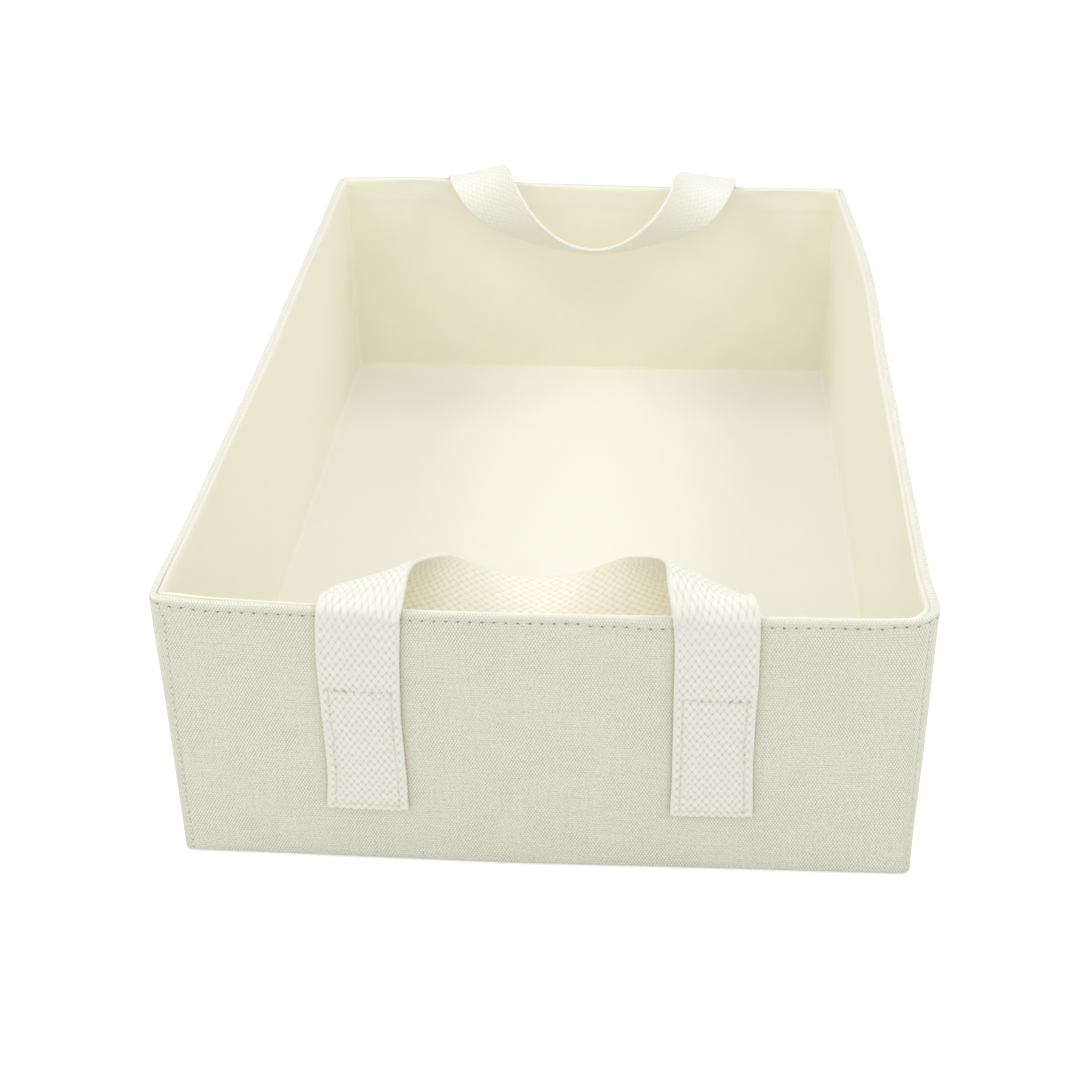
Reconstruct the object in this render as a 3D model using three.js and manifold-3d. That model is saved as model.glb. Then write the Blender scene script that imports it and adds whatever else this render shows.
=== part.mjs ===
// Fabric storage tray: a low rectangular tray of stiffening boards sewn between an outer canvas
// and a lining, with a webbing handle at each end that lies folded into the tray.
// Millimetres. X is the width, Y the length, Z is up; the origin is the middle of the underside.

import * as THREE from 'three';
import { mergeVertices } from 'three/addons/utils/BufferGeometryUtils.js';
import Module from 'manifold-3d';

const wasm = await Module();
wasm.setup();

// Tray
const trayWidth = 275;
const trayLength = 427;
const trayHeight = 114;
const cornerRadius = 3;
const liningCornerRadius = 1.2;

// Layers of a wall and of the floor, from the outside in
const canvasThickness = 0.8;
const boardThickness = 2;
const liningThickness = 0.7;
const layerGap = 0.2;
const seamGap = 0.3;

// Rim and hems
const canvasFold = 1.8;
const canvasEdgeRadius = 1;
const grooveWidth = 0.25;
const foldEdgeRadius = 0.35;
const liningEdgeRadius = 0.6;
const hemDepth = 15;
const hemThickness = 0.35;

// Stiffening boards
const boardCornerRadius = 4;

// Webbing handles
const strapWidth = 30;
const strapThickness = 2;
const selvedge = 0.6;
const strapSpacing = 125;
const sewnLength = 90;
const strapGap = 0.2;
const bendRadius = 5;
const hingeGap = 0.5;
const loopReach = 45;
const loopDrop = 26;
const loopLaunch = 24;
const loopSpread = 42;
const loopTilt = THREE.MathUtils.degToRad(23);

// Facets
const cornerSteps = 5;
const edgeSteps = 3;
const bendSteps = 6;
const loopSteps = 44;
const endSteps = 3;
const endTurn = THREE.MathUtils.degToRad(80);

const wallThickness = canvasThickness + boardThickness + liningThickness + 2 * layerGap;
const boardInset = canvasThickness + layerGap;
const liningInset = boardInset + boardThickness + layerGap;
const floorTop = wallThickness;
const boardTop = trayHeight - canvasThickness - layerGap;
const liningTop = boardTop + layerGap + liningThickness;
const wallBottom = canvasThickness + layerGap;
const foldCornerRadius = cornerRadius - canvasThickness;

// Colours and finishes
const canvasLook = { color: 0xd9d8c8, roughness: 0.95, metalness: 0 };
const boardLook = { color: 0xb9ad94, roughness: 0.9, metalness: 0 };
const liningLook = { color: 0xf0ead7, roughness: 0.9, metalness: 0 };
const webbingLook = { color: 0xe8e6d8, roughness: 0.95, metalness: 0 };

const tray = new THREE.Group();

function addPiece(name, geometry, look) {
  const mesh = new THREE.Mesh(geometry, new THREE.MeshStandardMaterial(look));
  mesh.name = name;
  tray.add(mesh);
  return mesh;
}

// One point list round the tray's rounded rectangle, drawn in by the inset
function outline(inset, radius) {
  const halfX = trayWidth / 2 - inset;
  const halfY = trayLength / 2 - inset;
  const points = [];
  const centres = [[1, 1], [-1, 1], [-1, -1], [1, -1]];
  centres.forEach(([signX, signY], corner) => {
    for (let step = 0; step <= cornerSteps; step++) {
      const angle = (corner + step / cornerSteps) * Math.PI / 2;
      const x = signX * (halfX - radius) + radius * Math.cos(angle);
      const y = signY * (halfY - radius) + radius * Math.sin(angle);
      points.push(new THREE.Vector2(x, y));
    }
  });
  return points;
}

// A closed solid from a stack of sections that all have the same number of points
function loft(sections) {
  const count = sections[0].length;
  const positions = sections.flat().flatMap((p) => [p.x, p.y, p.z]);
  const triangles = [];
  for (let s = 0; s < sections.length - 1; s++) {
    for (let i = 0; i < count; i++) {
      const a = s * count + i;
      const b = s * count + (i + 1) % count;
      triangles.push(a, b, b + count, a, b + count, a + count);
    }
  }
  const last = (sections.length - 1) * count;
  for (let i = 1; i < count - 1; i++) {
    triangles.push(0, i + 1, i);
    triangles.push(last, last + i, last + i + 1);
  }
  const geometry = new THREE.BufferGeometry();
  geometry.setAttribute('position', new THREE.Float32BufferAttribute(positions, 3));
  geometry.setIndex(triangles);
  return geometry;
}

// A block on the tray's outline whose inset changes with height
function outlineBlock(levels) {
  return solidOf(loft(levels.map(({ z, inset, radius }) => (
    outline(inset, radius).map((p) => new THREE.Vector3(p.x, p.y, z))
  ))));
}

// Levels of a quarter-round edge, with the inset starting at the face
function edgeLevels(radius, place) {
  const levels = [];
  for (let step = 0; step <= edgeSteps; step++) {
    const angle = step / edgeSteps * Math.PI / 2;
    levels.push(place(radius * (1 - Math.cos(angle)), radius * (1 - Math.sin(angle))));
  }
  return levels;
}

function solidOf(geometry) {
  geometry.deleteAttribute('normal');
  geometry.deleteAttribute('uv');
  const merged = mergeVertices(geometry);
  return new wasm.Manifold(new wasm.Mesh({
    numProp: 3,
    vertProperties: new Float32Array(merged.attributes.position.array),
    triVerts: new Uint32Array(merged.index.array),
  }));
}

function geometryOf(solid) {
  const mesh = solid.getMesh();
  const indexed = new THREE.BufferGeometry();
  indexed.setAttribute('position', new THREE.BufferAttribute(mesh.vertProperties, 3));
  indexed.setIndex(new THREE.BufferAttribute(mesh.triVerts, 1));
  const geometry = indexed.toNonIndexed();
  geometry.computeVertexNormals();
  return geometry;
}

function box(minX, maxX, minY, maxY, minZ, maxZ) {
  const geometry = new THREE.BoxGeometry(maxX - minX, maxY - minY, maxZ - minZ);
  geometry.translate((minX + maxX) / 2, (minY + maxY) / 2, (minZ + maxZ) / 2);
  return solidOf(geometry);
}

// The four zones of the walls: the end zones take in the upright corners
const wallZones = (() => {
  const farX = trayWidth;
  const farY = trayLength;
  const endY = trayLength / 2 - wallThickness - hemThickness;
  const sideX = trayWidth / 2 - wallThickness - hemThickness - liningCornerRadius;
  const sideY = endY - seamGap;
  return {
    front: box(-farX, farX, -farY, -endY, wallBottom, farY),
    back: box(-farX, farX, endY, farY, wallBottom, farY),
    left: box(-farX, -sideX, -sideY, sideY, wallBottom, farY),
    right: box(sideX, farX, -sideY, sideY, wallBottom, farY),
  };
})();

// Outer canvas: a base panel and four wall panels that fold over the top edge of the boards
function addCanvas() {
  const outside = outlineBlock([
    ...edgeLevels(canvasEdgeRadius, (inset, z) => (
      { z, inset, radius: cornerRadius - inset }
    )).reverse(),
    ...edgeLevels(canvasEdgeRadius, (inset, drop) => (
      { z: trayHeight - drop, inset, radius: cornerRadius - inset }
    )),
  ]);
  const boardSpace = outlineBlock([
    { z: canvasThickness, inset: canvasThickness, radius: foldCornerRadius },
    { z: trayHeight - canvasThickness, inset: canvasThickness, radius: foldCornerRadius },
  ]);
  const mouth = outlineBlock([
    { z: trayHeight - 2 * canvasThickness, inset: canvasFold, radius: foldCornerRadius },
    ...edgeLevels(foldEdgeRadius, (inset, drop) => (
      { z: trayHeight - drop, inset: canvasFold - inset, radius: foldCornerRadius }
    )),
    { z: trayHeight + canvasThickness, inset: canvasFold - foldEdgeRadius, radius: foldCornerRadius },
  ]);
  const shell = outside.subtract(boardSpace).subtract(mouth);
  const baseZone = box(-trayWidth, trayWidth, -trayLength, trayLength, -canvasThickness, canvasThickness);
  addPiece('outer_base', geometryOf(outside.intersect(baseZone)), canvasLook);
  for (const [side, zone] of Object.entries(wallZones)) {
    addPiece(`outer_${side}`, geometryOf(shell.intersect(zone)), canvasLook);
  }
}

// A flat stiffening board with rounded corners, lying in the XY plane
function boardGeometry(width, height) {
  const shape = new THREE.Shape();
  const x = width / 2;
  const y = height / 2;
  const r = boardCornerRadius;
  shape.absarc(x - r, -y + r, r, -Math.PI / 2, 0);
  shape.absarc(x - r, y - r, r, 0, Math.PI / 2);
  shape.absarc(-x + r, y - r, r, Math.PI / 2, Math.PI);
  shape.absarc(-x + r, -y + r, r, Math.PI, Math.PI * 1.5);
  shape.closePath();
  const options = { depth: boardThickness, bevelEnabled: false, curveSegments: cornerSteps };
  const geometry = new THREE.ExtrudeGeometry(shape, options);
  geometry.translate(0, 0, -boardThickness / 2);
  return geometry;
}

// Boards: four wall boards that meet edge to edge at the corners, and a base board between them
function addBoards() {
  const height = boardTop - wallBottom;
  const middle = (boardTop + wallBottom) / 2;
  const wallOffset = boardInset + boardThickness / 2;
  const cornerSpace = 2 * (boardInset + boardThickness + seamGap);
  const width = trayWidth - cornerSpace;
  const length = trayLength - cornerSpace;
  for (const [side, sign] of [['left', -1], ['right', 1]]) {
    const upright = boardGeometry(length, height).rotateX(Math.PI / 2).rotateZ(Math.PI / 2);
    const board = addPiece(`board_${side}`, upright, boardLook);
    board.position.set(sign * (trayWidth / 2 - wallOffset), 0, middle);
  }
  for (const [side, sign] of [['front', -1], ['back', 1]]) {
    const upright = boardGeometry(width, height).rotateX(Math.PI / 2);
    const board = addPiece(`board_${side}`, upright, boardLook);
    board.position.set(0, sign * (trayLength / 2 - wallOffset), middle);
  }
  const base = addPiece('board_base', boardGeometry(width, length), boardLook);
  base.position.z = wallBottom + boardThickness / 2;
}

// Lining: a floor panel and four wall panels, each with a doubled hem that turns out over the boards
function addLining() {
  const radius = liningCornerRadius;
  const flangeInset = canvasFold + grooveWidth;
  const flangeBottom = boardTop + layerGap;
  const flangeRadius = foldCornerRadius - grooveWidth;
  const hemInset = wallThickness + hemThickness;
  const floorBottom = floorTop - liningThickness;
  const body = outlineBlock([
    { z: floorBottom, inset: liningInset, radius },
    { z: liningTop, inset: liningInset, radius },
  ]);
  const flange = outlineBlock([
    { z: flangeBottom, inset: flangeInset, radius: flangeRadius },
    { z: liningTop, inset: flangeInset, radius: flangeRadius },
  ]);
  const inside = outlineBlock([
    { z: wallBottom, inset: wallThickness, radius },
    { z: liningTop - hemDepth - hemThickness, inset: wallThickness, radius },
    { z: liningTop - hemDepth, inset: hemInset, radius },
    ...edgeLevels(liningEdgeRadius, (inset, drop) => (
      { z: liningTop - drop, inset: hemInset - inset, radius }
    )),
    { z: trayHeight + liningThickness, inset: hemInset - liningEdgeRadius, radius },
  ]);
  const walls = body.add(flange).subtract(inside);
  for (const [side, zone] of Object.entries(wallZones)) {
    addPiece(`lining_${side}`, geometryOf(walls.intersect(zone)), liningLook);
  }
  const floorInset = wallThickness + seamGap;
  const floorPanel = outlineBlock([
    { z: floorBottom, inset: floorInset, radius },
    { z: floorTop, inset: floorInset, radius },
  ]);
  addPiece('lining_floor', geometryOf(floorPanel), liningLook);
}

// A flat webbing strap along a path, with its width direction given at each point and its run at both ends
function strapGeometry(path, across, endRuns) {
  const half = strapWidth / 2;
  const flat = half - selvedge;
  const corners = [[half, 0], [flat, 1], [-flat, 1], [-half, 0], [-flat, -1], [flat, -1]];
  const sections = [];
  const addSection = (centre, wide, thick, share) => {
    sections.push(corners.map(([w, t]) => (
      centre.clone().addScaledVector(wide, w).addScaledVector(thick, t * share * strapThickness / 2)
    )));
  };
  const frames = path.map((centre, i) => {
    const isEnd = i === 0 || i === path.length - 1;
    const along = isEnd ? endRuns[Math.sign(i)] : path[i + 1].clone().sub(path[i - 1]).normalize();
    const wide = across[i].clone().addScaledVector(along, -across[i].dot(along)).normalize();
    return { centre, along, wide, thick: wide.clone().cross(along).negate() };
  });
  const addRoundEnd = ({ centre, along, wide, thick }, direction) => {
    const turns = Array.from({ length: endSteps }, (_, i) => (i + 1) / endSteps * endTurn);
    if (direction < 0) turns.reverse();
    for (const angle of turns) {
      const end = centre.clone().addScaledVector(along, direction * Math.sin(angle) * strapThickness / 2);
      addSection(end, wide, thick, Math.cos(angle));
    }
  };
  addRoundEnd(frames[0], -1);
  frames.forEach(({ centre, wide, thick }) => addSection(centre, wide, thick, 1));
  addRoundEnd(frames[frames.length - 1], 1);
  return loft(sections);
}

// The strap lies on the outer face and bends over the rim to the hinge line, where the loop begins
const strapOffset = -strapGap - strapThickness / 2;
const hingeInset = strapOffset + bendRadius;
const hingeHeight = trayHeight + bendRadius;
const bendAngle = Math.PI / 2 - (strapThickness + hingeGap) / bendRadius;

// Points are given as distance across, distance in from the end wall's face, and height
const endPlaces = {
  front: (x, inward, z) => new THREE.Vector3(x, inward - trayLength / 2, z),
  back: (x, inward, z) => new THREE.Vector3(-x, trayLength / 2 - inward, z),
};
const endDirections = {
  front: (x, inward, z) => new THREE.Vector3(x, inward, z),
  back: (x, inward, z) => new THREE.Vector3(-x, -inward, z),
};

// The sewn leg of a handle, ending in the bend over the rim
function addLeg(end, hand, x) {
  const place = endPlaces[end];
  const lowEnd = trayHeight - sewnLength + strapThickness / 2;
  const path = [place(x, strapOffset, lowEnd)];
  for (let step = 0; step <= bendSteps; step++) {
    const angle = step / bendSteps * bendAngle;
    const inward = hingeInset - bendRadius * Math.cos(angle);
    path.push(place(x, inward, trayHeight + bendRadius * Math.sin(angle)));
  }
  const direct = endDirections[end];
  const across = path.map(() => direct(1, 0, 0));
  const endRuns = [direct(0, 0, 1), direct(0, Math.sin(bendAngle), Math.cos(bendAngle))];
  addPiece(`${end}_leg_${hand}`, strapGeometry(path, across, endRuns), webbingLook);
}

// The free loop: each half is one curve from the hinge line to the middle, and the width turns from
// level across the tray to the tilt of the middle
function addLoop(end) {
  const place = endPlaces[end];
  const direct = endDirections[end];
  const halfSpacing = strapSpacing / 2;
  const start = new THREE.Vector3(-halfSpacing, hingeInset, hingeHeight);
  const middle = new THREE.Vector3(0, loopReach, trayHeight - loopDrop);
  const curve = new THREE.CubicBezierCurve3(
    start,
    start.clone().add(new THREE.Vector3(0, loopLaunch, 0)),
    middle.clone().add(new THREE.Vector3(-loopSpread, 0, 0)),
    middle,
  );
  const path = [];
  const across = [];
  for (let step = 0; step <= loopSteps; step++) {
    const side = step * 2 <= loopSteps ? 1 : -1;
    const share = 1 - Math.abs(1 - 2 * step / loopSteps);
    const point = curve.getPoint(share);
    const turn = share * Math.PI / 2;
    const tipped = Math.sin(turn);
    path.push(place(side * point.x, point.y, point.z));
    across.push(direct(side * Math.cos(turn), tipped * Math.cos(loopTilt), tipped * Math.sin(loopTilt)));
  }
  const endRuns = [direct(0, 1, 0), direct(0, -1, 0)];
  addPiece(`${end}_loop`, strapGeometry(path, across, endRuns), webbingLook);
}

addCanvas();
addBoards();
addLining();
for (const [end, facing] of [['front', 1], ['back', -1]]) {
  addLeg(end, 'left', -facing * strapSpacing / 2);
  addLeg(end, 'right', facing * strapSpacing / 2);
  addLoop(end);
}

export default tray;
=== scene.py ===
import math

import bpy
import numpy as np
from mathutils import Matrix, Vector


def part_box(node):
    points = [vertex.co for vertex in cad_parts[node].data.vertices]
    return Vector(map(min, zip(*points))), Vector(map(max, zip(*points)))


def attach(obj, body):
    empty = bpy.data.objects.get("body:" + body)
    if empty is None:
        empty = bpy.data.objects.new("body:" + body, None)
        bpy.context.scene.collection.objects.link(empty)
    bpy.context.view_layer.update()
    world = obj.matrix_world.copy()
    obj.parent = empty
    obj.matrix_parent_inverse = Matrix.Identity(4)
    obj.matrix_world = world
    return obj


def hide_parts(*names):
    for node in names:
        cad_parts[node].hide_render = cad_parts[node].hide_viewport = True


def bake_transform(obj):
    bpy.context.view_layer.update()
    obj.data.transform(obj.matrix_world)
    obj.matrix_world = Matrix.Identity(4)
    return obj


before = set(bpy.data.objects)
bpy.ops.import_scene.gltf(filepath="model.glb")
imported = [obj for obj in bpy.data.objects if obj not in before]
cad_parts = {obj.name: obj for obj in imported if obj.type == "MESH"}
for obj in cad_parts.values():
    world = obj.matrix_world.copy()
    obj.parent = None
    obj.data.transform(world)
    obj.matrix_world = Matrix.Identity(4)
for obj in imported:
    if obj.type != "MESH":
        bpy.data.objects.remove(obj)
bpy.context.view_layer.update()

# Sizes are in millimetres; newPiece turns them into metres
mm = 0.001

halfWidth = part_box("outer_right")[1].x / mm
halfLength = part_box("outer_back")[1].y / mm
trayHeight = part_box("outer_front")[1].z / mm
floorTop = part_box("lining_floor")[1].z / mm


def linked(name, data):
    # A new object of the data, in the scene
    piece = bpy.data.objects.new(name, data)
    bpy.context.scene.collection.objects.link(piece)
    return piece


# Camera: where the photograph was taken from, found from the tray's rim and base
cameraSetup = {
    "place": (0.036944, -0.744428, 0.463697),  # metres
    "lens": 60.79,
    "sensor": 36,
    "turn": -3.978,  # degrees to the left of +Y
    "down": 31.073,
    "roll": -0.583,
}


def makeCamera(setup):
    turn, down, roll = (math.radians(setup[key]) for key in ("turn", "down", "roll"))
    ahead = Vector((math.sin(turn) * math.cos(down), math.cos(turn) * math.cos(down), -math.sin(down)))
    right = Vector((math.cos(turn), -math.sin(turn), 0))
    up = right.cross(ahead)
    rightRolled = math.cos(roll) * right + math.sin(roll) * up
    upRolled = math.cos(roll) * up - math.sin(roll) * right
    data = bpy.data.cameras.new("photoCamera")
    data.lens = setup["lens"]
    data.sensor_width = setup["sensor"]
    camera = linked("photoCamera", data)
    axes = Matrix((rightRolled, upRolled, -ahead)).transposed().to_4x4()
    camera.matrix_world = Matrix.Translation(Vector(setup["place"])) @ axes
    bpy.context.scene.camera = camera


makeCamera(cameraSetup)
print("camera ready")


# Node maths as expressions on sockets
class Value:
    def __init__(self, graph, socket):
        self.graph = graph
        self.socket = socket

    def fade(self, start, end):
        settings = {"interpolation_type": "SMOOTHSTEP", "clamp": True}
        inputs = {"Value": self, "From Min": start, "From Max": end}
        return self.graph.value("ShaderNodeMapRange", settings, inputs)


def mathMethod(operation, reflected=False):
    def method(self, *others):
        operands = [*others, self] if reflected else [self, *others]
        return self.graph.value("ShaderNodeMath", {"operation": operation}, operands)

    return method


for name, operation in {
    "__add__": "ADD", "__sub__": "SUBTRACT", "__mul__": "MULTIPLY", "__truediv__": "DIVIDE",
    "__pow__": "POWER", "sine": "SINE", "absolute": "ABSOLUTE", "fraction": "FRACT", "rounded": "ROUND",
    "root": "SQRT", "greater": "GREATER_THAN", "atMost": "MINIMUM", "atLeast": "MAXIMUM",
}.items():
    setattr(Value, name, mathMethod(operation))
for name, operation in {"__radd__": "ADD", "__rsub__": "SUBTRACT", "__rmul__": "MULTIPLY"}.items():
    setattr(Value, name, mathMethod(operation, reflected=True))


class Graph:
    def __init__(self, tree):
        self.tree = tree

    def node(self, kind, settings=None, inputs=None):
        node = self.tree.nodes.new(kind)
        for key, setting in (settings or {}).items():
            setattr(node, key, setting)
        pairs = inputs.items() if isinstance(inputs, dict) else enumerate(inputs or [])
        for key, given in pairs:
            if isinstance(given, Value):
                self.tree.links.new(given.socket, node.inputs[key])
            elif given is not None:
                node.inputs[key].default_value = given
        return node

    def value(self, kind, settings=None, inputs=None, output=0):
        return Value(self, self.node(kind, settings, inputs).outputs[output])


class Surface(Graph):
    def __init__(self, name):
        self.material = bpy.data.materials.new(name)
        self.material.use_nodes = True
        super().__init__(self.material.node_tree)
        self.tree.nodes.clear()
        self.output = self.tree.nodes.new("ShaderNodeOutputMaterial")

    def mix(self, factor, first, second):
        return self.value("ShaderNodeMix", {"data_type": "RGBA"}, {0: factor, 6: first, 7: second}, 2)

    def noise(self, vector, scale, detail=2, roughness=0.5):
        inputs = {"Vector": vector, "Scale": scale, "Detail": detail, "Roughness": roughness}
        return self.value("ShaderNodeTexNoise", {"noise_dimensions": "3D"}, inputs)

    def unevenYarns(self, u, v, weft, warp):
        # Thick and thin places along the yarns of both ways; each way by its scales along u and v
        first, second = (self.noise(self.join(u * a, v * b), 1.0, 2) for a, b in (weft, warp))
        return first + second - 1

    def join(self, x, y, z=0.0):
        return self.value("ShaderNodeCombineXYZ", None, {"X": x, "Y": y, "Z": z})

    def attribute(self, name):
        return self.value("ShaderNodeAttribute", {"attribute_name": name}, None, 2)

    def clothPlace(self):
        uv = self.node("ShaderNodeUVMap", {"uv_map": "cloth"})
        parts = self.node("ShaderNodeSeparateXYZ", None, {0: Value(self, uv.outputs[0])})
        return Value(self, parts.outputs[0]), Value(self, parts.outputs[1])

    def bump(self, height, strength=1.0, distance=1.0):
        inputs = {"Height": height, "Strength": strength, "Distance": distance}
        return self.value("ShaderNodeBump", None, inputs)

    def finish(self, colour, roughness, normal, sheen=0.0):
        inputs = {"Base Color": colour, "Roughness": roughness, "Normal": normal}
        shader = self.node("ShaderNodeBsdfPrincipled", None, inputs)
        shader.inputs["Sheen Weight"].default_value = sheen
        shader.inputs["Specular IOR Level"].default_value = 0.2
        self.tree.links.new(shader.outputs[0], self.output.inputs["Surface"])
        return self.material


# Sewing rows, shared by the cloth that they dent and the thread that lies in them
stitching = {
    "rimDrop": 3.5,  # below the rim, on average
    "rimPitch": 4.2,
    "rimPhase": 0.64,
    "uprightPitch": 3.4,
    "boxPitch": 3.45,
    "crossPitch": 3.45,
    "boxInset": 3.3,  # from the webbing's edges
    "boxEndInset": 2.4,
    "crossDrop": 35,  # the cross row, below the rim
    "pucker": 0.09,  # how far the cloth swells between stitches
    "pull": 0.2,  # and how far each stitch draws it in
    "groove": 0.25,  # along an upright row, with a low ridge beside it
    "ridge": 0.1,
    "rimHole": (0.5, 0.32),  # half sizes of a needle hole
    "uprightHole": (0.3, 0.42),
    "threadLift": 0.1,
    "underLeg": 13,  # no stitches this far to each side of a leg's middle
    "seed": 7,  # of the puckers
    "boxSeed": 3,
    "boxWander": 0.16,
    "boxLift": 0.02,
}

# How far each wall stands out at the rim and at the base: place along the wall and size
bows = {
    "right": {
        "rim": [(-213, 0.0), (-208, 0.9), (-203, 1.8), (-196, 1.7), (-190, 1.25), (-165, 1.05), (-120, 1.6),
                (-60, 2.65), (0, 3.4), (30, 4.1), (60, 5.2), (90, 5.6), (118, 5.2), (150, 3.9), (185, 2.0),
                (205, 0.9), (213, 0.9)],
        "base": [(-213, 1.1), (-150, 0.8), (150, 0.6), (213, 0.3)],
    },
    "left": {
        "rim": [(-213, 2.3), (-195, 2.7), (-170, 2.0), (-130, 1.5), (-90, 1.3), (-50, 1.0), (0, 1.1),
                (50, 1.5), (100, 1.75), (150, 1.85), (200, 2.0), (213, 1.7)],
        "base": [(-213, 0.65), (-150, 0.7), (150, 0.6), (213, 0.3)],
    },
    "front": {
        "rim": [(-137, 0.55), (-120, 0.95), (-100, 1.55), (-80, 2.3), (-60, 3.0), (-25, 3.6), (0, 3.42),
                (30, 2.83), (60, 2.02), (90, 1.25), (120, 0.67), (137, 0.44)],
        "base": [(-137, 0.8), (-110, 0.85), (-75, 1.3), (-30, 1.75), (-15, 1.9), (5, 1.7), (27, 1.35),
                 (50, 1.0), (73, 0.75), (96, 0.5), (119, 0.25), (137, 0.0)],
    },
    "back": {
        "rim": [(-137, 1.3), (-80, 1.5), (-40, 1.95), (-10, 2.3), (20, 2.5), (60, 2.2), (100, 1.7),
                (137, 1.4)],
        "base": [(-137, 0.4), (0, 0.8), (137, 0.4)],
    },
}
# How far the back wall's rim stands up above the tray's height, by x
backRise = [(-137, 0.9), (-122, 2.1), (-90, 2.75), (-60, 1.6), (-33, 0.1), (0, -0.55), (32, -1.25),
            (83, -1.0), (107, -0.75), (131, -1.3)]
bowShape = {"fade": 1.3, "cornerRise": 0.8, "cornerReach": 14}


def between(pairs, at):
    # Straight lines through pairs of place and size
    places, sizes = np.array(pairs, float).T
    return np.interp(at, places, sizes)


def clothWaves(waves, along, up):
    # Soft waves, each by its size, its lengths both ways and its start
    return sum(size * np.sin(along / long + up / high + start) for size, long, high, start in waves)


def through(pairs, at):
    # A smooth curve through pairs of place and size
    x, y = np.array(pairs, float).T
    slope = np.gradient(y, x)
    k = np.clip(np.searchsorted(x, at) - 1, 0, len(x) - 2)
    h = x[k + 1] - x[k]
    t = np.clip((at - x[k]) / h, 0, 1)
    start = (1 + 2 * t) * (1 - t) ** 2 * y[k] + t * (1 - t) ** 2 * h * slope[k]
    return start + t * t * (3 - 2 * t) * y[k + 1] + t * t * (t - 1) * h * slope[k + 1]


def bowAt(side, along, height):
    rim, base = (through(bows[side][level], along) for level in ("rim", "base"))
    return base + (rim - base) * height


def lean(points):
    # How far the soft walls stand away from a straight box, at each point
    x, y, z = points[..., 0], points[..., 1], points[..., 2]
    height = np.clip(z / trayHeight, 0, 1) ** bowShape["fade"]
    across = np.clip(2 * np.abs(x) / halfWidth - 1, 0, 1)
    along = np.clip(3 * np.abs(y) / halfLength - 2, 0, 1)
    sideways = np.where(x > 0, bowAt("right", y, height), -bowAt("left", y, height)) * across
    endways = np.where(y > 0, bowAt("back", x, height), -bowAt("front", x, height)) * along
    corner = np.hypot(halfWidth - np.abs(x), halfLength - np.abs(y)) / bowShape["cornerReach"]
    rise = bowShape["cornerRise"] * np.exp(-(corner**2)) + through(backRise, x) * along * (y > 0)
    return np.stack([sideways, endways, rise * height], -1)


# Meshes from grids of points
def pointMesh(name, points):
    mesh = bpy.data.meshes.new(name)
    mesh.vertices.add(len(points))
    mesh.vertices.foreach_set("co", (points * mm).astype(np.float32).ravel())
    return mesh


def mark(mesh, key, numbers):
    attribute = mesh.attributes.new(key, "FLOAT", "POINT")
    attribute.data.foreach_set("value", numbers.astype(np.float32).ravel())


def newPiece(name, points, quads, material, uv, values=None, sharp=None):
    mesh = pointMesh(name, points)
    mesh.loops.add(quads.size)
    mesh.loops.foreach_set("vertex_index", quads.astype(np.int32).ravel())
    mesh.polygons.add(len(quads))
    mesh.polygons.foreach_set("loop_start", (np.arange(len(quads)) * 4).astype(np.int32))
    mesh.update(calc_edges=True)
    mesh.polygons.foreach_set("use_smooth", np.ones(len(quads), bool))
    mesh.uv_layers.new(name="cloth").data.foreach_set("uv", uv.astype(np.float32).ravel())
    for key, numbers in (values or {}).items():
        mark(mesh, key, numbers)
    if sharp:
        mesh.set_sharp_from_angle(angle=math.radians(sharp))
    mesh.materials.append(material)
    return linked(name, mesh)


def gridQuads(rows, columns, wrapRows=False, wrapColumns=False):
    rowCount = rows if wrapRows else rows - 1
    columnCount = columns if wrapColumns else columns - 1
    row, column = np.meshgrid(np.arange(rowCount), np.arange(columnCount), indexing="ij")
    row, column = row.ravel(), column.ravel()
    cornerRow = np.stack([row, row, row + 1, row + 1], 1)
    cornerColumn = np.stack([column, column + 1, column + 1, column], 1)
    quads = (cornerRow % rows) * columns + cornerColumn % columns
    return quads, cornerRow, cornerColumn


def closedBand(name, points, along, up, material, values=None):
    # Rings stacked up a closed section, with their columns running round the tray
    rows, columns = points.shape[:2]
    quads, cornerRow, cornerColumn = gridQuads(rows, columns, True, True)
    uv = np.stack([along[cornerColumn], up[cornerRow]], -1)
    return newPiece(name, points.reshape(-1, 3), quads, material, uv, values, sharp=50)


def closedSlab(name, top, bottom, across, along, material, values=None, flip=False, sharp=50):
    # Two facing grids joined round their edges; the top faces along its columns' way crossed with its rows'
    rows, columns = top.shape[:2]
    ring = np.concatenate([top, bottom[:, ::-1]], 1)
    wide = 2 * columns
    quads, cornerRow, cornerColumn = gridQuads(rows, wide, False, True)
    acrossRing = np.concatenate([across, across[::-1], across[:1]])
    uv = np.stack([acrossRing[cornerColumn], along[cornerRow]], -1)
    column = np.arange(columns - 1)
    startCap = np.stack([column, wide - 1 - column, wide - 2 - column, column + 1], 1)
    endCap = startCap[:, ::-1] + (rows - 1) * wide
    capUv = [np.stack([acrossRing[cap % wide], along[cap // wide]], -1) for cap in (startCap, endCap)]
    quads = np.concatenate([quads, startCap, endCap])
    uv = np.concatenate([uv, *capUv])
    if flip:
        quads, uv = quads[:, ::-1], uv[:, ::-1]
    return newPiece(name, ring.reshape(-1, 3), quads, material, uv, values, sharp)


def unit(vectors):
    return vectors / np.maximum(np.linalg.norm(vectors, axis=-1, keepdims=True), 1e-9)


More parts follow.
